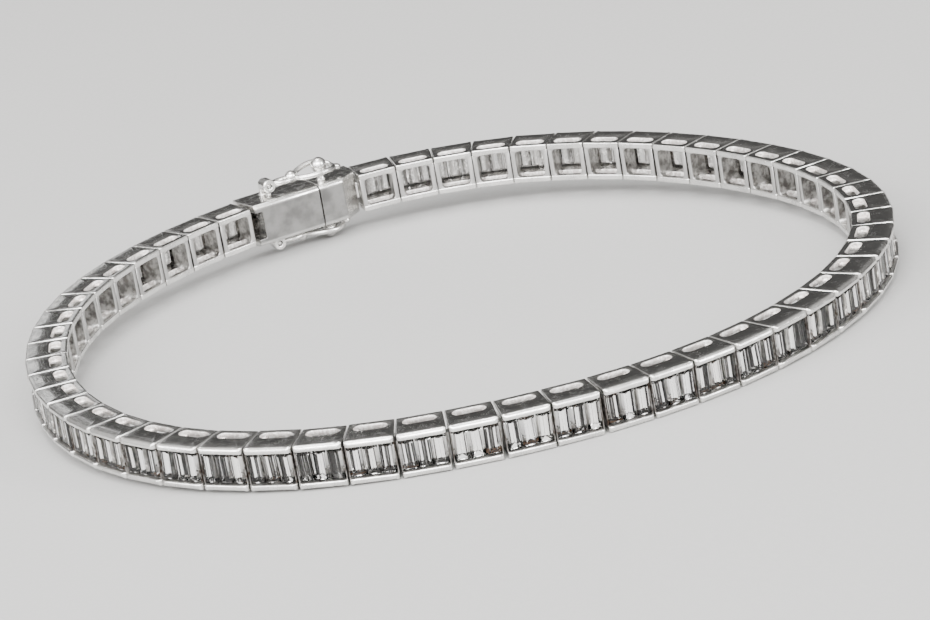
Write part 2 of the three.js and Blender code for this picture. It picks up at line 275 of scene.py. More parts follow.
# %% The side plate with its slot
PLATE = 0.42
LINK_LENGTH = 3.1
INNER_LENGTH = 2.8
SLOT_LENGTH = 2.1
SLOT_WIDTH = 0.8
SLOT_MIDDLE = -1.1
LIP_ROUND = 0.28
LIP_UNDERSIDE = 0.1
EDGE_ROUND = 0.08
SLOT_ROUND = 0.05
OUTER_CORNER, WAIST_CORNER, INNER_CORNER = 0.28, 0.3, 0.1


def plate_outline(start_inner, end_inner):
    """The plate in plan, narrowing towards the wrist from the hinge line on."""
    half = LINK_LENGTH / 2
    corners = [(-half, OUTER_EDGE), (-half, 0), (-start_inner, INNER_EDGE),
               (end_inner, INNER_EDGE), (half, 0), (half, OUTER_EDGE)]
    radii = (OUTER_CORNER, WAIST_CORNER, INNER_CORNER)
    return rounded_outline(corners, radii + radii[::-1], arc_steps=4, edge_length=0.2)


def slot_point(direction):
    """Where a ray from the slot's middle meets the slot's edge, and the edge's direction there."""
    radius, reach = SLOT_WIDTH / 2, (SLOT_LENGTH - SLOT_WIDTH) / 2
    dx, dy = direction
    if abs(dy) > 1e-9 and abs(dx) * radius / abs(dy) <= reach:
        return np.array([dx, dy]) * radius / abs(dy), np.array([0, math.copysign(1, dy)])
    side = math.copysign(reach, dx)
    along = side * dx
    distance = along + math.sqrt(along * along - reach * reach + radius * radius)
    point = np.array([dx, dy]) * distance
    return point, (point - (side, 0)) / radius


def side_plate(low, lip_up, start_inner=INNER_LENGTH / 2, end_inner=INNER_LENGTH / 2):
    """A plate whose outer edge is fully rounded on the side that faces away from the stones."""
    points, normals = plate_outline(start_inner, end_inner)
    middle = np.array([0, SLOT_MIDDLE])
    rays = (points - middle) / np.linalg.norm(points - middle, axis=1)[:, None]
    found = [slot_point(ray) for ray in rays]
    slot_points = np.array([hit for hit, _ in found]) + middle
    slot_normals = np.array([normal for _, normal in found])
    outward = np.clip(normals[:, 1], 0, 1) ** 3
    away = EDGE_ROUND + (LIP_ROUND - EDGE_ROUND) * outward
    toward = EDGE_ROUND + (LIP_UNDERSIDE - EDGE_ROUND) * outward
    radii = (toward, away) if lip_up else (away, toward)
    rows = edge_rows(points, normals, low, low + PLATE, *radii)
    slot_radius = np.full(len(points), SLOT_ROUND)
    slot_rows = edge_rows(slot_points, -slot_normals, low, low + PLATE, slot_radius, slot_radius, steps=2)
    part = stack(rows + slot_rows[::-1], ends="cycle")
    part["points"][:, 0] += PITCH / 2
    return part


print("one side plate:", len(side_plate(0, lip_up=False)["faces"]), "quads")

# %% [markdown]
# Between the plates stand two end walls. Seen from the wrist they and the plates frame a little
# window with soft corners, which is left open under the stones so that light can enter. The wall
# is drawn as an upright bar with flared feet and then lofted from the inner edge up to the stones.

# %% The end wall
WALL = 0.34
WALL_TOP = -0.22
WINDOW_ROUND = 0.3


def wall_section(grow=0.0):
    """Points of the wall in (x, z), as seen from the wrist, for the wall at the start of a link."""
    low, high = PLATE - 0.1 + grow, BAND - PLATE + 0.1 - grow
    back, front = grow, WALL - grow
    points = [(back, high), (back, low), (front + WINDOW_ROUND, low)]
    for foot in (0, 1):
        for step in range(6):
            angle = math.pi / 2 * (step if foot == 0 else 5 - step) / 5
            x = front + WINDOW_ROUND * (1 - math.sin(angle))
            rise = PLATE + WINDOW_ROUND * (1 - math.cos(angle))
            points.append((x, rise if foot == 0 else BAND - rise))
    points.append((front + WINDOW_ROUND, high))
    return np.array(points)


WALL_ROWS = (
    # distance from the hinge line, and how far the row is drawn in to ease the edge
    (INNER_EDGE + 0.03, 0.05),
    (INNER_EDGE + 0.045, 0.02),
    (INNER_EDGE + 0.08, 0.0),
    (-1.0, 0.0),
    (WALL_TOP - 0.03, 0.0),
    (WALL_TOP, 0.03),
)


def end_wall(side):
    """side is -1 for the start of a link and 1 for its end."""
    rows = []
    for depth, grow in WALL_ROWS:
        start = (LINK_LENGTH - (LINK_LENGTH - INNER_LENGTH) * depth / INNER_EDGE) / 2
        section = wall_section(grow)
        x = side * (start - section[:, 0]) + PITCH / 2
        rows.append(np.column_stack([x, np.full(len(x), depth), section[:, 1]]))
    return stack(rows)


print("an end wall:", len(end_wall(1)["faces"]), "faces")

# %% [markdown]
# Behind the stones the links are hinged by short tubes with a pin through them, and a thin end of
# the channel stands beside the last stone of each link. The tubes are turned on a lathe, and so
# they are here: a profile of a few points is swung round its axis, as for the clasp's beads later.

# %% The hinge tube and the channel's thin ends


def turned(profile, steps=20, ends="cap"):
    """A turned part: (radius, height) pairs swung round the z axis."""
    angles = np.linspace(0, 2 * np.pi, steps, endpoint=False)
    rows = [np.column_stack([radius * np.cos(angles), radius * np.sin(angles), np.full(steps, height)])
            for radius, height in profile]
    return stack(rows, ends)


KNUCKLE_RADIUS = 0.36
KNUCKLE_MIDDLE = -0.64
KNUCKLE_HALF = 0.6


def knuckle(x):
    """The hinge tube between two links, with its ends eased and a pin end showing."""
    profile = [(0.12, -KNUCKLE_HALF + 0.04), (KNUCKLE_RADIUS - 0.05, -KNUCKLE_HALF),
               (KNUCKLE_RADIUS, -KNUCKLE_HALF + 0.05), (KNUCKLE_RADIUS, KNUCKLE_HALF - 0.05),
               (KNUCKLE_RADIUS - 0.05, KNUCKLE_HALF), (0.12, KNUCKLE_HALF - 0.04)]
    place = np.eye(4)
    place[:3, 3] = (x, KNUCKLE_MIDDLE, BAND / 2)
    return moved(turned(profile, 14), place)


def end_strip(side):
    """The thin end of the channel that shows beside the last stone."""
    outer, inner = LINK_LENGTH / 2 - 0.012, LINK_LENGTH / 2 - 0.068
    plan = [(inner, -0.5), (outer, -0.5), (outer, 0.68),
            (outer - 0.015, 0.7), (inner + 0.01, 0.7), (inner, 0.68)]
    return stack([[(side * x + PITCH / 2, y, height) for x, y in plan]
                  for height in (PLATE - 0.05, BAND - PLATE + 0.05)])


print("a knuckle:", len(knuckle(0)["faces"]), "faces")

# %% [markdown]
# The side plates narrow towards the wrist, so that the chain can bend into a ring. A maker files
# each pair of neighbours until they just clear each other. The script does the same: it measures
# the gap between two links at the inner edge, which is widest where the loop bends least, and
# lengthens both plates until only a snug gap is left.

# %% Fit the links' inner ends to each other
SNUG = 0.07


def inner_ends():
    """The two inner half lengths of each link's plates."""
    ends = np.full((LINKS, 2), INNER_LENGTH / 2)
    for number in range(LINKS - 1):
        this, following = link_frame(number), link_frame(number + 1)
        end = this[:2, 3] + this[:2, :2] @ np.array([PITCH / 2 + INNER_LENGTH / 2, INNER_EDGE])
        start = following[:2, 3] + following[:2, :2] @ np.array([PITCH / 2 - INNER_LENGTH / 2, INNER_EDGE])
        spare = (start - end) @ this[:2, 0] - SNUG
        ends[number, 1] += max(0, spare / 2)
        ends[number + 1, 0] += max(0, spare / 2)
    return ends


INNER_ENDS = inner_ends()


def link_metal(number):
    """All the metal of one link, in its own frame."""
    start, end = INNER_ENDS[number]
    plates = [side_plate(0, False, start, end), side_plate(BAND - PLATE, True, start, end)]
    return merge(plates + [end_wall(-1), end_wall(1), end_strip(-1), end_strip(1), knuckle(PITCH)])


print("one link:", len(link_metal(0)["points"]), "points; inner ends up to", round(INNER_ENDS.max(), 3))

# %% [markdown]
# A baguette is a long step-cut stone. Its table is a flat strip, long facets step down each side to
# the girdle, and below the girdle the pavilion closes in steps to a keel. The corners are cut by a
# hair, each by its own amount. Each stone is lofted from nested outlines, one for each step, and
# tipped a little, so that no two mirror the same light.
#
# A worn baguette sparkles in hard bars of black, white and brown. Here the black and brown bars are
# painted: some pavilion facets take a film in place of clear stone, which stands for dark
# reflections and partly for oxide and old polish crept behind them: now and then a dark one on a
# long side, and a dark or brown one at an end.

# %% The baguette
STONE_PITCH = 0.98
GIRDLE = 0.60
STONE_STEPS = (
    # half width, half length, height above the hinge line
    (0.012, 0.640, -0.120),
    (0.130, 0.710, 0.000),
    (0.260, 0.800, 0.150),
    (0.380, 0.900, 0.330),
    (0.484, 1.015, GIRDLE - 0.015),
    (0.484, 1.015, GIRDLE + 0.010),
    (0.405, 0.950, 0.705),
    (0.310, 0.860, 0.780),
)
PAVILION_STEPS = 4
# The facets of one step are numbered round the stone. The even ones are the cut corners.
FACETS_ROUND, LONG_SIDES, LOWER_END, UPPER_END = 8, (1, 5), 3, 7
# Films behind facets: painted dark reflections, partly grime.
DARK, BROWN = 1, 2


def facet_films_and_reflections():
    """What lies behind each pavilion facet of one stone, as a list of {edge: coating} for each step. Dark
    and brown coatings are painted dark reflections, partly grime.
    """
    streaky = rng.uniform(0, 1) < 0.8
    lower, upper = rng.uniform(0, 1) < 0.6, rng.uniform(0, 1) < 0.3
    films = []
    for step in range(PAVILION_STEPS):
        # Painted dark reflections: dark films on some long sides, dark or brown ones at the ends.
        film_and_shade = {side: DARK for side in LONG_SIDES if streaky and rng.uniform(0, 1) < 0.27}
        if step < PAVILION_STEPS - 1:
            film_and_shade |= {LOWER_END: rng.choice((DARK, BROWN))} if lower else {}
            film_and_shade |= {UPPER_END: BROWN} if upper else {}
        films.append(film_and_shade)
    return films


def baguette():
    """One stone, lying along z with its table towards +y."""
    width, cuts = rng.uniform(0.975, 1.0), rng.uniform(0.01, 0.07, 4)
    tip = rng.normal(0, math.radians(1.4), 3) * (0.4, 0.7, 1.0)
    rows = []
    for half_width, half_long, height in STONE_STEPS:
        x, z = half_width * width, half_long
        ring = []
        for cut, (side, end, order) in zip(cuts, ((1, 1, 0), (1, -1, 1), (-1, -1, 0), (-1, 1, 1))):
            cut = min(cut, x * 0.9)
            corner = [(side * (x - cut), height, end * z), (side * x, height, end * (z - cut))]
            ring += corner if order == 0 else corner[::-1]
        rows.append(ring)
    part = stack(rows)
    turn = (Matrix.Rotation(tip[0], 3, "X") @ Matrix.Rotation(tip[1], 3, "Y")
            @ Matrix.Rotation(tip[2], 3, "Z"))
    part["points"] = part["points"] @ np.array(turn).T
    part["paint"] = np.zeros(len(part["faces"]), int)
    for step, films in enumerate(facet_films_and_reflections()):
        for edge, film_and_shade in films.items():
            part["paint"][step * FACETS_ROUND + edge] = film_and_shade
    return part


def shifted(part, x=0, y=0, z=0):
    """The part moved along the axes."""
    return {**part, "points": part["points"] + (x, y, z)}


def stones_of_link(place):
    """Three placed stones, each with its own random number for the material."""
    stones = []
    for index in (-1, 0, 1):
        stone = shifted(baguette(), PITCH / 2 + index * STONE_PITCH, rng.uniform(-0.03, 0.01), BAND / 2)
        stones.append((stone, place, rng.uniform(0, 1)))
    return stones


print("one stone has", len(baguette()["faces"]), "facets")

# %% [markdown]
# Placed parts are joined into one mesh for each piece of the frame. A point also remembers where it
# sits on its own link, and gets its link's number, so that a material can give each link its own
# polish. Metal is shaded smooth but for its sharp edges, with the normals weighted so that flat
# faces stay flat. Stones are left faceted.

# %% Make meshes and put them on the frame


def new_object(name, data):
    """An object in the scene."""
    made = bpy.data.objects.new(name, data)
    bpy.context.scene.collection.objects.link(made)
    return made


def outward_mesh(name, points, faces):
    """A mesh whose faces all look outwards."""
    mesh = bpy.data.meshes.new(name)
    mesh.from_pydata(points.tolist(), [], faces)
    shell = bmesh.new()
    shell.from_mesh(mesh)
    bmesh.ops.recalc_face_normals(shell, faces=shell.faces)
    shell.to_mesh(mesh)
    shell.free()
    return mesh


def make_piece(name, parts, materials, body, flat=False, sharp_angle=38):
    """One object out of placed parts. Each entry is (part, place, number)."""
    points, faces, homes, tones, paint, offset = [], [], [], [], [], 0
    for part, place, tone in parts:
        carried = moved(part, place)
        points.append(carried["points"])
        faces += [tuple(i + offset for i in face) for face in carried["faces"]]
        homes.append(part["points"])
        tones.append(np.full(len(part["points"]), tone))
        paint.append(part.get("paint", np.zeros(len(part["faces"]), int)))
        offset += len(part["points"])
    mesh = outward_mesh(name, np.concatenate(points) * MM, faces)
    home = mesh.attributes.new("home", "FLOAT_VECTOR", "POINT")
    home.data.foreach_set("vector", np.concatenate(homes).astype(np.float32).ravel())
    tone = mesh.attributes.new("tone", "FLOAT", "POINT")
    tone.data.foreach_set("value", np.concatenate(tones).astype(np.float32))
    mesh.polygons.foreach_set("use_smooth", np.full(len(mesh.polygons), not flat))
    if not flat:
        mesh.set_sharp_from_angle(angle=math.radians(sharp_angle))
    for material in materials:
        mesh.materials.append(material)
    mesh.polygons.foreach_set("material_index", np.concatenate(paint).astype(np.int32))
    piece = new_object(name, mesh)
    if not flat:
        even = piece.modifiers.new("flat faces stay flat", "WEIGHTED_NORMAL")
        even.keep_sharp = True
    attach(piece, body)
    return piece


print("ready to make pieces")

# %% [markdown]
# Effects shared by several materials are small shader groups with named sockets. Fine scratches are
# thin lines where a stretched noise crosses its middle value, laid in several directions. Haze is
# the patchy dulling that fingers leave. A helper class adds nodes and joins them up.

# %% Shared shader groups


class Nodes:
    """A short way to add nodes to a tree and join them up."""

    def __init__(self, tree):
        self.tree = tree

    def add(self, kind, settings=None, **inputs):
        node = self.tree.nodes.new(kind)
        for name, value in (settings or {}).items():
            setattr(node, name, value)
        for name, value in inputs.items():
            self.plug(node, name.replace("_", " "), value)
        return node

    def plug(self, node, name, value):
        key = int(name[3:]) if name.startswith("in ") else name
        if isinstance(value, bpy.types.NodeSocket):
            self.tree.links.new(value, node.inputs[key])
        else:
            node.inputs[key].default_value = value

    def math(self, operation, a, b=0.0, c=0.0, clamp=False):
        settings = {"operation": operation, "use_clamp": clamp}
        return self.add("ShaderNodeMath", settings, in_0=a, in_1=b, in_2=c).outputs[0]

    def fade(self, value, low, high, out_low=0.0, out_high=1.0):
        node = self.add("ShaderNodeMapRange", {"interpolation_type": "SMOOTHSTEP"}, Value=value,
                        From_Min=low, From_Max=high, To_Min=out_low, To_Max=out_high)
        return node.outputs["Result"]

    def noise(self, vector, scale, detail=3.0, roughness=0.5):
        node = self.add("ShaderNodeTexNoise", Vector=vector, Scale=scale, Detail=detail, Roughness=roughness)
        return node.outputs["Fac"]

    def mix(self, factor, a, b):
        return self.add("ShaderNodeMix", {"data_type": "RGBA"}, in_0=factor, in_6=a, in_7=b).outputs[2]

    def own_place(self):
        """Where a point sits on its own link in millimetres, the same place shifted by the piece's
        number, so that no two pieces share a pattern, and that number."""
        home = self.add("ShaderNodeAttribute", {"attribute_name": "home"}).outputs["Vector"]
        number = self.add("ShaderNodeAttribute", {"attribute_name": "tone"}).outputs["Fac"]
        shifted_home = self.add("ShaderNodeVectorMath", {"operation": "MULTIPLY_ADD"},
                                in_0=number, in_1=(37.0, 91.0, 53.0), in_2=home)
        return self.add("ShaderNodeSeparateXYZ", Vector=home).outputs, shifted_home.outputs[0], number


def new_group(name, inputs, outputs):
    """An empty shader group. inputs is {name: (type, default)}, outputs is {name: type}."""
    tree = bpy.data.node_groups.new(name, "ShaderNodeTree")
    for socket, (kind, default) in inputs.items():
        made = tree.interface.new_socket(socket, in_out="INPUT", socket_type="NodeSocket" + kind)
        if default is not None:
            made.default_value = default
    for socket, kind in outputs.items():
        tree.interface.new_socket(socket, in_out="OUTPUT", socket_type="NodeSocket" + kind)
    nodes = Nodes(tree)
    return tree, nodes, nodes.add("NodeGroupInput"), nodes.add("NodeGroupOutput")


def scratches_group():
    """Thin lines in a few directions, in patches. Lines is 1 on a scratch."""
    tree, nodes, given, result = new_group(
        "Fine scratches", {"Vector": ("Vector", None), "Width": ("Float", 0.02), "Scale": ("Float", 1.0)},
        {"Lines": "Float"})
    strokes = (((0.3, 0.1, 0.4), 14), ((-0.7, 0.5, 1.3), 18), ((1.1, -0.4, 2.2), 10), ((0.1, 1.4, 0.8), 22))
    total = 0.0
    for turn, stretch in strokes:
        mapped = nodes.add("ShaderNodeMapping", Vector=given.outputs["Vector"], Rotation=turn,
                           Scale=(0.35, stretch * 0.35, stretch * 0.35))
        field = nodes.noise(mapped.outputs[0], given.outputs["Scale"], 1.0)
        line = nodes.math("ABSOLUTE", nodes.math("SUBTRACT", field, 0.5))
        thin = nodes.math("SUBTRACT", 1.0, nodes.math("DIVIDE", line, given.outputs["Width"]), clamp=True)
        total = nodes.math("MAXIMUM", total, thin)
    patch = nodes.fade(nodes.noise(given.outputs["Vector"], 1.7, 2.0), 0.42, 0.62, 0.25, 1.0)
    tree.links.new(nodes.math("MULTIPLY", total, patch), result.inputs["Lines"])
    return tree


def haze_group():
    """Patchy dulling. Value is a roughness from Low to High, and Mask is 1 where it is dullest."""
    tree, nodes, given, result = new_group(
        "Handling haze", {"Vector": ("Vector", None), "Low": ("Float", 0.05), "High": ("Float", 0.2)},
        {"Value": "Float", "Mask": "Float"})
    broad = nodes.noise(given.outputs["Vector"], 0.8, 4.0, 0.6)
    fine = nodes.noise(given.outputs["Vector"], 9.0, 3.0, 0.65)
    blend = nodes.math("ADD", nodes.math("MULTIPLY", broad, 0.65), nodes.math("MULTIPLY", fine, 0.35))
    mask = nodes.fade(blend, 0.38, 0.64)
    spread = nodes.math("SUBTRACT", given.outputs["High"], given.outputs["Low"])
    value = nodes.math("MULTIPLY_ADD", mask, spread, given.outputs["Low"])
    tree.links.new(value, result.inputs["Value"])
    tree.links.new(mask, result.inputs["Mask"])
    return tree


SCRATCHES, HAZE = scratches_group(), haze_group()
print("groups:", [group.name for group in bpy.data.node_groups])

# %% [markdown]
# Platinum alloy is a cool, slightly grey white, buffed to a mirror outside. What differs from place
# to place is how far a buff or a finger could reach, and where shade, highlights and dark
# reflections are painted, so a finish looks at where a point lies.
#
# The links were cast. Between the side plates the metal is painted darker as shade in the channel,
# with a random mottle of light and dark, and darker still close to the stones, under a film and
# painted shade. The long slots were sawn out, so their walls are matt, and they are painted
# brighter in patches as a highlight. The bars at the wrist are painted darker as a dark reflection.
# The lips and the edge at the wrist are rubbed a little dull.

# %% The finish inside a channel and in its slots, with painted shade, highlights and reflections
# Painted shade: both cast colours are dark, to darken the channel; which one shows is random.
SHADED_CAST_DARK, SHADED_CAST_LIGHT = (0.26, 0.25, 0.24, 1), (0.72, 0.71, 0.69, 1)
# Painted dark reflection: the colour of the bars' face at the wrist.
BAR_FACE_DARK_REFLECTION = (0.46, 0.454, 0.445, 1)
# The brighter slot wall colour is a painted highlight; which colour shows is random.
SAWN_DARK, SAWN_HIGHLIGHT = (0.66, 0.62, 0.60, 1), (0.97, 0.96, 0.94, 1)
# Part film and part painted shade, on the plates by the stones.
STONE_FILM_AND_SHADE = (0.05, 0.032, 0.022, 1)


def off_the_middle(nodes, where):
    """How far a point is from the middle of the band, across it."""
    return nodes.math("ABSOLUTE", nodes.math("SUBTRACT", where["Z"], BAND / 2))


def from_the_slot(nodes, where):
    """How far a point is from the slot's middle line."""
    off_centre = nodes.math("ABSOLUTE", nodes.math("SUBTRACT", where["X"], PITCH / 2))
    reach = nodes.math("MAXIMUM", nodes.math("SUBTRACT", off_centre, (SLOT_LENGTH - SLOT_WIDTH) / 2), 0.0)
    across_slot = nodes.math("SUBTRACT", where["Y"], SLOT_MIDDLE)
    return nodes.math("SQRT", nodes.math("ADD", nodes.math("POWER", reach, 2.0),
                                         nodes.math("POWER", across_slot, 2.0)))


def channel_finish_and_painted_light(nodes, where, vector, base, rough):
    """Painted shade with a random mottle between the plates, darker by the stones, slot walls painted
    brighter in patches, a painted dark reflection on the bars, and rubbed edges. Gives colour and roughness.
    """
    channel = BAND / 2 - PLATE
    inside = nodes.fade(off_the_middle(nodes, where), channel - 0.03, channel + 0.03, 1.0, 0.0)
    near_stones = nodes.fade(where["Y"], -0.1, 0.2)
    blots = nodes.fade(nodes.noise(vector, 2.6, 4.0, 0.65), 0.35, 0.68, 0.3, 1.0)
    shaded_cast_mottle = nodes.fade(nodes.noise(vector, 1.7, 4.0, 0.65), 0.38, 0.64)
    # Painted shade between the plates, in a random mottle.
    base = nodes.mix(inside, base, nodes.mix(shaded_cast_mottle, SHADED_CAST_DARK, SHADED_CAST_LIGHT))
    at_wrist = nodes.fade(where["Y"], -1.88, -1.8, 1.0, 0.0)
    # Painted dark reflection on the bars at the wrist.
    base = nodes.mix(nodes.math("MULTIPLY", inside, at_wrist), base, BAR_FACE_DARK_REFLECTION)
    sawn_and_bright = nodes.fade(from_the_slot(nodes, where), SLOT_WIDTH / 2 + 0.005, SLOT_WIDTH / 2 + 0.04, 1.0, 0.0)
    saw_marks_and_sheen = nodes.fade(nodes.noise(vector, 5.0, 3.0, 0.6), 0.42, 0.62)
    # Slot walls painted brighter in patches: a painted highlight on a matt wall.
    base = nodes.mix(sawn_and_bright, base, nodes.mix(saw_marks_and_sheen, SAWN_DARK, SAWN_HIGHLIGHT))
    rubbed = nodes.math("MAXIMUM", nodes.fade(where["Y"], 0.4, 0.8),
                        nodes.fade(where["Y"], -1.9, -1.8, 1.0, 0.0))
    rough = nodes.math("MULTIPLY_ADD", rubbed, 0.1, rough)
    rough = nodes.math("MULTIPLY_ADD", sawn_and_bright, 0.38, rough)
    film_and_shade = nodes.math("MULTIPLY", nodes.math("MULTIPLY", inside, near_stones), blots)
    # A film and painted shade by the stones, in blots.
    base = nodes.mix(film_and_shade, base, STONE_FILM_AND_SHADE)
    rough = nodes.math("MULTIPLY_ADD", film_and_shade, 0.2, rough)
    return base, nodes.math("MULTIPLY_ADD", inside, 0.22, rough)


print("slots are", SLOT_LENGTH, "by", SLOT_WIDTH, "mm")

# %% [markdown]
# The clasp's flat plate lies on the wrist, and skin, cuffs and tables rub it satin. Its colour is
# painted dark grey with soft clouds in it, as a dark reflection, so it looks greyer than the
# mirror-bright sides. The hollow end of the box, where the last link hangs, is painted almost black
# as shade.

# %% The finish of the clasp's plate
CLASP_INSIDE = -2.1
SATIN_FROM = -0.95
# Painted dark reflection: the colours of the clasp's plate at the wrist.
PLATE_REFLECTION_DARK, PLATE_REFLECTION_LIGHT = (0.17, 0.168, 0.164, 1), (0.29, 0.286, 0.28, 1)
# Painted shade: the colour of the box's hollow end.
HOLLOW_SHADE = (0.07, 0.065, 0.06, 1)


def clasp_finish_and_painted_shade(nodes, where, vector, base, rough):
    """A satin plate at the wrist, painted dark grey as a dark reflection, and painted shade in the hollow at
    the box's end. Gives colour and roughness.
    """
    off_middle = off_the_middle(nodes, where)
    face = nodes.fade(off_middle, 1.2, 1.42, 1.0, 0.0)
    satin = nodes.math("MULTIPLY", face, nodes.fade(where["Y"], SATIN_FROM, SATIN_FROM + 0.2, 1.0, 0.0))
    at_wrist = nodes.fade(where["Y"], CLASP_INSIDE + 0.01, CLASP_INSIDE + 0.07, 1.0, 0.0)
    flat_plate = nodes.math("MULTIPLY", face, at_wrist)
    cloud = nodes.fade(nodes.noise(vector, 0.55, 3.0, 0.55), 0.35, 0.65)
    # The plate at the wrist is painted dark grey as a dark reflection, in clouds.
    base = nodes.mix(flat_plate, base, nodes.mix(cloud, PLATE_REFLECTION_DARK, PLATE_REFLECTION_LIGHT))
    rough = nodes.math("MULTIPLY_ADD", satin, 0.1, nodes.math("MULTIPLY_ADD", flat_plate, 0.14, rough))
    # Painted shade: the hollow end of the box is made almost black.
    hollow = nodes.math("MULTIPLY", nodes.fade(off_middle, 1.0, 1.04, 1.0, 0.0),
                        nodes.math("MULTIPLY", nodes.fade(where["X"], 1.0, 1.045, 1.0, 0.0),
                                   nodes.fade(where["Y"], 0.6, 0.7, 1.0, 0.0)))
    return nodes.mix(hollow, base, HOLLOW_SHADE), rough


print("clasp plate is satin from", SATIN_FROM, "mm inwards")

# %% [markdown]
# All three metals share one recipe: the alloy's colour, dulled by haze and scored by scratches,
# then the finish of the channel or the clasp with its painted shade, highlights and dark
# reflections, and last two bumps. A long, very shallow swell is what is left of filing under a
# hand polish. It bends reflections just enough to look hand-made.

# %% Platinum


def empty_material(name):
    """A material with nothing in it, and a helper for its nodes."""
    material = bpy.data.materials.new(name)
    material.use_nodes = True
    material.node_tree.nodes.clear()
    return material, Nodes(material.node_tree)


def show(nodes, shader):
    """Joins the last shader to the surface."""
    out = nodes.add("ShaderNodeOutputMaterial")
    nodes.tree.links.new(shader.outputs[0], out.inputs["Surface"])


def platinum(name, low, high, colour, finish=None, swell_depth=0.000005, scratch_depth=0.0000022):
    """Polished metal. low and high are its roughness where it is clean and where it is hazy."""
    material, nodes = empty_material(name)
    where, vector, _ = nodes.own_place()
    haze = nodes.add("ShaderNodeGroup", {"node_tree": HAZE}, Vector=vector, Low=low, High=high)
    scratches = nodes.add("ShaderNodeGroup", {"node_tree": SCRATCHES}, Vector=vector, Width=0.012, Scale=1.6)
    lines = scratches.outputs[0]
    dull, scored = (tuple(part * share for part in colour) for share in (0.74, 0.4))
    base = nodes.mix(haze.outputs["Mask"], (*colour, 1), (*dull, 1))
    base = nodes.mix(nodes.math("MULTIPLY", lines, 0.5), base, (*scored, 1))
    rough = nodes.math("MULTIPLY_ADD", lines, 0.16, haze.outputs["Value"])
    if finish:
        base, rough = finish(nodes, where, vector, base, rough)
    swell = nodes.add("ShaderNodeBump", Strength=1.0, Distance=swell_depth,
                      Height=nodes.noise(vector, 0.9, 2.0, 0.5))
    bump = nodes.add("ShaderNodeBump", {"invert": True}, Strength=1.0, Distance=scratch_depth, Height=lines,
                     Normal=swell.outputs[0])
    show(nodes, nodes.add("ShaderNodeBsdfPrincipled", Base_Color=base, Metallic=1.0, Roughness=rough,
                          Normal=bump.outputs[0]))
    return material


LINK_PLATINUM = platinum("polished platinum", 0.05, 0.19, (0.84, 0.83, 0.81), channel_finish_and_painted_light)
CLASP_PLATINUM = platinum("clasp platinum", 0.07, 0.23, (0.82, 0.81, 0.79), clasp_finish_and_painted_shade)
WIRE_PLATINUM = platinum("platinum wire", 0.08, 0.2, (0.84, 0.83, 0.81))
print("metals ready")

# %% [markdown]
# Diamond bends light so strongly that a plain glass shader with its real index does the work: what
# looks white or black in a stone is only what its facets happen to mirror. A thin haze softens
# some patches of each stone.
#
# The backs of the stones, seen from inside the loop, are never as clean as the fronts: dust and soap
# sit on them in crumbs. Light from inside the stone must not meet that dust, or the stone would go
# grey from the front, so it covers only the outer side of the back. The films behind single facets
# work the same way: dark from within, as painted dark reflection and partly grime, and dull grey
# from behind.

# %% Diamond


def diamond():
    """Clear stone with a dusty back."""
    material, nodes = empty_material("baguette diamond")
    where, vector, number = nodes.own_place()
    haze = nodes.add("ShaderNodeGroup", {"node_tree": HAZE}, Vector=vector, Low=0.0, High=0.05)
    tint = nodes.mix(number, (0.985, 0.99, 1.0, 1), (1.0, 0.985, 0.95, 1))
    veil = nodes.mix(nodes.math("MULTIPLY", haze.outputs["Mask"], 0.12), tint, (0.86, 0.85, 0.83, 1))
    clear = nodes.add("ShaderNodeBsdfPrincipled", Base_Color=veil, Roughness=haze.outputs["Value"], IOR=2.42,
                      Specular_Tint=(0.14, 0.14, 0.14, 1), Transmission_Weight=1.0)
    below_girdle = nodes.fade(where["Y"], 0.4, GIRDLE, 1.0, 0.0)
    seen_from_behind = nodes.math("SUBTRACT", 1.0, nodes.add("ShaderNodeNewGeometry").outputs["Backfacing"])
    crumbs = nodes.fade(nodes.noise(vector, 2.2, 3.0, 0.6), 0.5, 0.68)
    dust = nodes.add("ShaderNodeBsdfPrincipled", Roughness=nodes.fade(crumbs, 0.0, 1.0, 0.55, 0.3),
                     Base_Color=nodes.mix(crumbs, (0.42, 0.41, 0.40, 1), (0.95, 0.94, 0.92, 1)))
    cover = nodes.math("MULTIPLY", seen_from_behind, nodes.fade(crumbs, 0.0, 1.0, 0.5, 0.85))
    cover = nodes.math("MULTIPLY", below_girdle, cover)
    show(nodes, nodes.add("ShaderNodeMixShader", Fac=cover, in_1=clear.outputs[0], in_2=dust.outputs[0]))
    return material


def grime_and_dark_reflection(name, dark, light):
    """A coat behind a facet: dark against the stone, as a painted dark reflection and partly oxide and
    polish, and greyer on its outer side.
    """
    material, nodes = empty_material(name)
    _, vector, _ = nodes.own_place()
    blots = nodes.fade(nodes.noise(vector, 5.0, 4.0, 0.7), 0.4, 0.7)
    seen_through_stone = nodes.add("ShaderNodeNewGeometry").outputs["Backfacing"]
    # Painted dark reflection: the dark side seen through the stone.
    inner = nodes.mix(blots, (*dark, 1), (*light, 1))
    outer = nodes.mix(blots, (0.45, 0.44, 0.43, 1), (0.8, 0.79, 0.77, 1))
    show(nodes, nodes.add("ShaderNodeBsdfPrincipled", Base_Color=nodes.mix(seen_through_stone, outer, inner),
                          Roughness=nodes.fade(blots, 0.0, 1.0, 0.35, 0.6)))
    return material


# In the order of the facets' film numbers: clear, dark, brown. Dark and brown are painted dark reflections,
# partly grime.
STONE_MATERIALS = [diamond(), grime_and_dark_reflection("dark film and reflection", (0.006, 0.005, 0.005), (0.035, 0.03, 0.026)),
                   grime_and_dark_reflection("brown film and reflection", (0.025, 0.011, 0.005), (0.19, 0.088, 0.036))]
print("stone materials:", [material.name for material in STONE_MATERIALS])

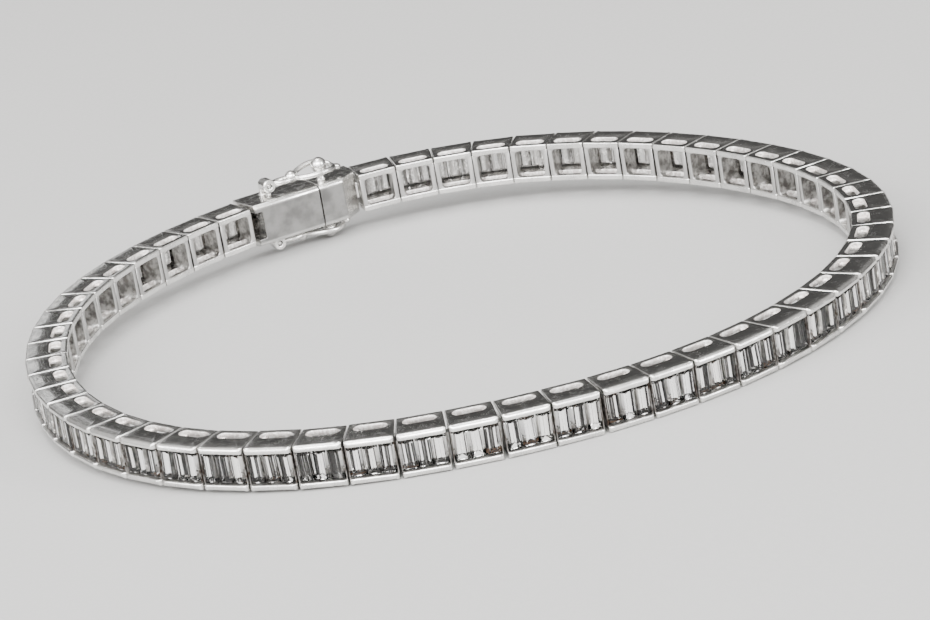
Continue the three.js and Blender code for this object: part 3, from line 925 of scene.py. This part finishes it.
# %% [markdown]
# With the shapes and finishes ready, the chain is laid out run by run: six links of metal in one
# piece, and their eighteen stones in another. Each piece rides on the bracelet's body and takes
# the place of one plain piece of the frame.

# %% Lay the chain
for run in range(LINKS // LINKS_PER_RUN):
    numbers = range(run * LINKS_PER_RUN, (run + 1) * LINKS_PER_RUN)
    links = [(link_metal(n), LINK_PLACES[n], rng.uniform(0, 1)) for n in numbers]
    metal = make_piece(f"links_{run + 1}", links, [LINK_PLATINUM], "bracelet")
    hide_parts(f"link_run_{run + 1}")
    baguettes = [stone for n in numbers for stone in stones_of_link(LINK_PLACES[n])]
    stones = make_piece(f"stones_{run + 1}", baguettes, STONE_MATERIALS, "bracelet", flat=True)
    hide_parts(f"stone_run_{run + 1}")
print("chain of", LINKS, "links laid")

# %% [markdown]
# The box clasp is as long as three links. One half is a hollow box with ears that hold the last
# link, the other a plain housing that carries the folded spring tongue. Both are sawn and filed
# from solid stock, so here they are cut from blanks with booleans and their edges then eased.

# %% Sawn and filed parts of the clasp


def prism(outline, low, high):
    """An outline in plan, raised from one height to another."""
    return stack([[(x, y, height) for x, y in outline] for height in (low, high)])


def block(low, high):
    """A box given by its low and high corner."""
    plan = [(low[0], low[1]), (high[0], low[1]), (high[0], high[1]), (low[0], high[1])]
    return prism(plan, low[2], high[2])


def carve(blank, cutters, ease, segments=3):
    """Cuts shapes out of a blank and rounds every edge that is left."""
    made = [new_object("blank", outward_mesh("blank", part["points"], part["faces"]))
            for part in [blank] + cutters]
    for tool in made[1:]:
        cut = made[0].modifiers.new("cut", "BOOLEAN")
        cut.operation, cut.solver, cut.object = "DIFFERENCE", "EXACT", tool
    bevel = made[0].modifiers.new("ease", "BEVEL")
    bevel.width, bevel.segments = ease, segments
    bevel.limit_method, bevel.angle_limit = "ANGLE", math.radians(25)
    bpy.context.view_layer.update()
    carved = made[0].evaluated_get(bpy.context.evaluated_depsgraph_get()).data
    part = {"points": np.array([tuple(v.co) for v in carved.vertices]),
            "faces": [tuple(face.vertices) for face in carved.polygons]}
    for tool in made:
        mesh = tool.data
        bpy.data.objects.remove(tool)
        bpy.data.meshes.remove(mesh)
    return part


BOX_END = 5.8
HOUSING_START = 5.9
SLANT_START = 7.75
EASE = 0.06
WRIST_EDGE, OUTER_ROUND = 0.34, 0.16


def clasp_bar(start, end):
    """The clasp's section drawn out along the chain, with the two edges at the wrist well rounded."""
    corners = [(CLASP_INSIDE, CLASP_LOW), (OUTER_EDGE, CLASP_LOW),
               (OUTER_EDGE, CLASP_HIGH), (CLASP_INSIDE, CLASP_HIGH)]
    radii = [WRIST_EDGE, OUTER_ROUND, OUTER_ROUND, WRIST_EDGE]
    section, _ = rounded_outline(corners, radii, arc_steps=6, edge_length=9)
    return stack([[(x, y, z) for y, z in section] for x in (start, end)])


def clasp_box():
    """The hollow half, tapered and opened at the end where the last link hangs."""
    tapered = prism([(-1, 3), (-1, -4), (0.9, -4), (0.48, CLASP_INSIDE), (0.06, 0), (0.06, 3)], -2, 6)
    window = block((-1, CLASP_INSIDE - 1, PLATE), (1.05, 0.55, BAND - PLATE))
    pocket = block((1.45, -1.7, 0.25), (7, 0.55, BAND - 0.25))
    return carve(clasp_bar(0, BOX_END), [tapered, window, pocket], EASE)


def clasp_housing():
    """The plain half. Its wrist side falls back at the far end, to let the first link swing."""
    end = CLASP_LENGTH - 0.1
    fall_back = prism([(SLANT_START, CLASP_INSIDE), (SLANT_START - 0.4, -4), (11, -4), (11, -0.3),
                       (end, -0.3), (end - 0.15, CLASP_INSIDE + 1.1)], -2, 6)
    return carve(clasp_bar(HOUSING_START, end), [fall_back], EASE)


def spring_tongue():
    """A leaf that goes into the box and is folded back on itself, to spring open behind its step."""
    root, inner, outer, leaf = 6.2, -1.05, 0.05, 0.25
    plan = [(root, inner), (root, inner + leaf), (2.4, inner + leaf + 0.05), (root - 0.9, outer - leaf),
            (root - 0.9, outer), (1.9, inner + leaf + 0.1), (1.9, inner)]
    return carve(prism(plan[::-1], BAND / 2 - 0.85, BAND / 2 + 0.85), [], 0.04, 2)


print("clasp box", len(clasp_box()["faces"]), "faces")

# %% [markdown]
# A figure-eight safety catch is one bent wire: a small loop, a soldered bead at the waist, a large
# loop that snaps over a ball stud, and a tab for the fingernail. It swings on a tube round a pin.
# The wires are swept along closed paths. Posts and studs are soldered on by hand, so the upper ones
# stand a little higher than the lower ones.

# %% Wires and turned parts of the catches
WIRE = 0.22
STUD_ALONG = 6.8


def swept(path, radius, steps=14, closed=True):
    """A round wire along a path. radius is one number or one for each point."""
    path = np.asarray(path, float)
    radius = np.broadcast_to(radius, len(path))
    ahead = np.roll(path, -1, axis=0) - np.roll(path, 1, axis=0)
    if not closed:
        ahead[0], ahead[-1] = path[1] - path[0], path[-1] - path[-2]
    ahead /= np.linalg.norm(ahead, axis=1)[:, None]
    rows = []
    for point, direction, size in zip(path, ahead, radius):
        side = np.cross(direction, (0, 0, 1))
        side /= np.linalg.norm(side)
        lift = np.cross(side, direction)
        rows.append([point + size * (math.cos(turn) * side + math.sin(turn) * lift)
                     for turn in np.linspace(0, 2 * np.pi, steps, endpoint=False)])
    return stack(rows, "cycle" if closed else "cap")


SMALL_LOOP = {"start": 2.75, "finish": 4.85, "width": 1.15, "egg": 0}
BIG_LOOP = {"start": 4.5, "finish": 8.1, "width": 2.5, "egg": 0.14}
BEAD_ALONG = 4.45
BALL = 0.6
# How far the parts stand off the side wall. The wires run from the pin past the stud to the tab.
WIRE_STOPS = (2.6, 4.4, 5.4, 6.6, 7.4, 8.0, 8.6)
UPPER_SIDE = {"pin": UPPER_PIN, "stud": 1.08, "bead": 0.84, "tilt": 0.16, "bead_size": 0.47,
              "wires": (0.76, 0.72, 0.84, 0.96, 0.9, 0.62, 0.42)}
LOWER_SIDE = {"pin": LOWER_PIN, "stud": 0.8, "bead": 0.6, "tilt": 0.08, "bead_size": 0.42,
              "wires": (0.54, 0.5, 0.58, 0.7, 0.68, 0.56, 0.5)}


def rise(x, side):
    """How far the wires stand off the wall, along the clasp."""
    return np.interp(x, WIRE_STOPS, side["wires"])


def wire_loop(side, start, finish, width, egg):
    """A closed loop of wire. egg widens its far end, and such a loop is tilted across the clasp."""
    turn = np.linspace(0, 2 * np.pi, 64, endpoint=False)
    half_long, half_wide = (finish - start) / 2 - WIRE, width / 2 - WIRE
    x = (start + finish) / 2 + half_long * np.cos(turn)
    y = PIN_MIDDLE + half_wide * np.sin(turn) * (1 + egg * np.cos(turn))
    smooth = np.convolve(np.tile(rise(x, side), 3), np.ones(7) / 7, "same")[64:128]
    tilt = side["tilt"] * (y - PIN_MIDDLE) if egg else 0
    return swept(np.column_stack([x, y, CLASP_HIGH + smooth + tilt]), WIRE * 0.92)


def ball(radius, centre, rows=12, steps=24):
    """A turned ball."""
    turns = np.linspace(-np.pi / 2, np.pi / 2, rows + 2)[1:-1]
    return shifted(turned([(radius * math.cos(t), radius * math.sin(t)) for t in turns], steps), *centre)


def across(part, x, z):
    """Lays a turned part along y."""
    points = part["points"]
    laid = np.column_stack([points[:, 0] + x, points[:, 2], z - points[:, 1]])
    return {"points": laid, "faces": part["faces"]}


def safety_catch(side):
    """The tube, the two loops, the bead at the waist and the tab."""
    low, high = PIN_MIDDLE - 0.5, PIN_MIDDLE + 0.5
    tube = turned([(0.2, low + 0.03), (0.24, low), (0.44, low), (0.5, low + 0.06),
                   (0.5, high - 0.06), (0.44, high), (0.24, high), (0.2, high - 0.03)], 32, "cycle")
    tab_x = np.linspace(7.8, 8.55, 9)
    tab_size = WIRE * np.array([0.9, 0.95, 1, 1.05, 1.1, 1.1, 1.0, 0.75, 0.3])
    tab = swept(np.column_stack([tab_x, np.full(9, PIN_MIDDLE), CLASP_HIGH + rise(tab_x, side)]),
                tab_size, closed=False)
    bead = ball(side["bead_size"], (BEAD_ALONG, PIN_MIDDLE, CLASP_HIGH + side["bead"]))
    return merge([across(tube, PIN_ALONG, CLASP_HIGH + side["pin"]), wire_loop(side, **SMALL_LOOP),
                  wire_loop(side, **BIG_LOOP), bead, tab])


def hinge_post(side):
    """The ear, its pin, and the blob of solder at its foot."""
    pin_height = CLASP_HIGH + side["pin"]
    ear_low, ear_high = 0.06, 0.34
    ear = turned([(0.34, ear_low), (0.4, ear_low + 0.05), (0.4, ear_high - 0.05), (0.34, ear_high)], 24)
    pin = turned([(0.1, PIN_MIDDLE - 0.4), (0.15, PIN_MIDDLE - 0.36), (0.15, ear_high)], 16)
    upright = block((PIN_ALONG - 0.4, ear_low, CLASP_HIGH - 0.2), (PIN_ALONG + 0.4, ear_high, pin_height))
    foot = carve(upright, [], 0.05)
    solder = turned([(0.62, -0.1), (0.56, 0.02), (0.45, 0.08), (0.2, 0.12)], 24)
    solder["points"] *= (1, 0.6, 1)
    return [across(ear, PIN_ALONG, pin_height), across(pin, PIN_ALONG, pin_height), foot,
            shifted(solder, PIN_ALONG, 0.2, CLASP_HIGH)]


def stud(side):
    """The ball that the big loop snaps over, on its neck."""
    neck = turned([(0.42, -0.1), (0.36, 0.03), (0.29, 0.12), (0.28, side["stud"] - 0.5)], 24)
    return [shifted(neck, STUD_ALONG, PIN_MIDDLE, CLASP_HIGH),
            ball(BALL, (STUD_ALONG, PIN_MIDDLE, CLASP_HIGH + side["stud"]))]


def below(part):
    """The same part on the lower side wall."""
    flip = np.diag([1.0, 1.0, -1.0, 1.0])
    flip[2, 3] = BAND
    return moved(part, flip)


print("catch:", len(safety_catch(UPPER_SIDE)["faces"]), "faces")

# %% [markdown]
# The clasp goes on: the box with the hinge posts, the housing with the tongue and the two studs,
# and the two catches, each on its own moving body.

# %% Put the clasp together
posts = hinge_post(UPPER_SIDE) + [below(part) for part in hinge_post(LOWER_SIDE)]
studs = stud(UPPER_SIDE) + [below(part) for part in stud(LOWER_SIDE)]
box_parts = [(clasp_box(), 0.31)] + [(part, 0.62) for part in posts]
tongue_parts = [(clasp_housing(), 0.18), (spring_tongue(), 0.5), (knuckle(CLASP_LENGTH), 0.5)]
tongue_parts += [(part, 0.8) for part in studs]
for half, parts in (("box", box_parts), ("tongue", tongue_parts)):
    placed_parts = [(part, CLASP_PLACE, number) for part, number in parts]
    piece = make_piece(f"clasp_{half}_metal", placed_parts, [CLASP_PLATINUM], "bracelet")
    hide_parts(f"clasp_{half}")
for side, shape in (("top", safety_catch(UPPER_SIDE)), ("bottom", below(safety_catch(LOWER_SIDE)))):
    catch = make_piece(f"figure_eight_{side}", [(shape, CLASP_PLACE, 0.4)], [WIRE_PLATINUM], f"catch_{side}")
    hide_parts(f"safety_catch_{side}")
print("clasp in place, with", len(posts), "post parts and", len(studs), "stud parts")

# %% [markdown]
# The stage is a pale floor with a very fine tooth, like matt board. Any floor that shows no grain of
# its own at this scale would do, and a plain board keeps the eye on the metal.

# %% The pale floor


def pale_board():
    """Matt board: a fine tooth, and a slow change of tone."""
    material, nodes = empty_material("pale board")
    spot = nodes.add("ShaderNodeTexCoord").outputs["Object"]
    tooth = nodes.noise(spot, 2500.0, 4.0, 0.6)
    cloud = nodes.noise(spot, 14.0, 3.0, 0.5)
    colour = nodes.mix(cloud, (0.34, 0.338, 0.334, 1), (0.37, 0.368, 0.363, 1))
    bump = nodes.add("ShaderNodeBump", Strength=0.25, Distance=0.00003, Height=tooth)
    show(nodes, nodes.add("ShaderNodeBsdfPrincipled", Base_Color=colour, Normal=bump.outputs[0],
                          Roughness=nodes.fade(tooth, 0.3, 0.7, 0.5, 0.66)))
    return material


def lay_floor(half=0.9):
    """A square of board under the bracelet. half is half its side, in metres."""
    mesh = bpy.data.meshes.new("board")
    corners = [(-half, -half, 0), (half, -half, 0), (half, half, 0), (-half, half, 0)]
    mesh.from_pydata(corners, [], [(0, 1, 2, 3)])
    mesh.materials.append(pale_board())
    new_object("board", mesh)


lay_floor()
print("floor laid")

# %% [markdown]
# Polished metal shows only what is round it, so the light is built for it. The surround is bright
# only towards the front, from where the stones and lips take their sparkle, and dim behind, so that
# the flat side plates go dark grey. Soft boxes at the front, overhead and at both sides add long
# highlights, and a weak one low behind lets the plates at the left end fade from bright to dark.

# %% The lights


def soft_box(name, place, size, watts):
    """A rectangular area light that faces the bracelet."""
    light = bpy.data.lights.new(name, "AREA")
    light.shape, light.size, light.size_y, light.energy = "RECTANGLE", size[0], size[1], watts
    lamp = new_object(name, light)
    lamp.location = place
    lamp.rotation_euler = (-Vector(place)).to_track_quat("-Z", "Y").to_euler()


BRIGHTEST_WAY = (-0.12, -0.77, 0.63)


def surround():
    """A world that is brightest towards the front and a little up."""
    world = bpy.data.worlds.new("surround")
    bpy.context.scene.world = world
    world.use_nodes = True
    nodes = Nodes(world.node_tree)
    way = nodes.add("ShaderNodeTexCoord").outputs["Generated"]
    facing = nodes.add("ShaderNodeVectorMath", {"operation": "DOT_PRODUCT"}, in_0=way, in_1=BRIGHTEST_WAY)
    level = nodes.math("ADD", nodes.fade(facing.outputs["Value"], -0.55, 0.97, 0.09, 2.0),
                       nodes.fade(facing.outputs["Value"], 0.65, 0.97, 0.0, 1.5))
    background = world.node_tree.nodes["Background"]
    background.inputs["Color"].default_value = (1.0, 0.985, 0.965, 1)
    world.node_tree.links.new(level, background.inputs["Strength"])


surround()
soft_box("front", (-0.05, -0.5, 0.4), (0.7, 0.3), 10.5)
soft_box("overhead", (-0.05, 0.02, 0.55), (0.4, 0.2), 2.6)
soft_box("left", (-0.5, -0.2, 0.3), (0.2, 0.3), 2.8)
soft_box("right", (0.5, -0.25, 0.25), (0.2, 0.25), 3.0)
soft_box("low behind", (-0.24, 0.57, 0.19), (0.33, 0.16), 0.2)
print("lights:", [lamp.name for lamp in bpy.data.lights])

# %% [markdown]
# The camera stands a quarter of a metre away with a long lens and looks down at the loop by about
# eighteen degrees. It is rolled by ten, which sets the bracelet on a lively slant.

# %% The camera
CAMERA_PLACE = Vector((-0.06, -242.96, 79.01)) * MM
LOOKS_DOWN, HEADING, ROLL = math.radians(17.87), math.radians(0.03), math.radians(10.32)


def set_camera():
    """Places the camera by how far it looks down, its heading and its roll."""
    camera = bpy.data.cameras.new("camera")
    camera.lens, camera.sensor_width, camera.clip_start = 144.6, 36.0, 0.01
    view = new_object("camera", camera)
    forward = Vector((math.sin(HEADING) * math.cos(LOOKS_DOWN), math.cos(HEADING) * math.cos(LOOKS_DOWN),
                      -math.sin(LOOKS_DOWN)))
    level_right = forward.cross(Vector((0, 0, 1))).normalized()
    level_up = level_right.cross(forward)
    right = math.cos(ROLL) * level_right - math.sin(ROLL) * level_up
    back = -forward
    up = back.cross(right)
    turn = Matrix((right, up, back)).transposed()
    view.matrix_world = Matrix.Translation(CAMERA_PLACE) @ turn.to_4x4()
    bpy.context.scene.camera = view


set_camera()
print("camera at", [round(value, 3) for value in CAMERA_PLACE])
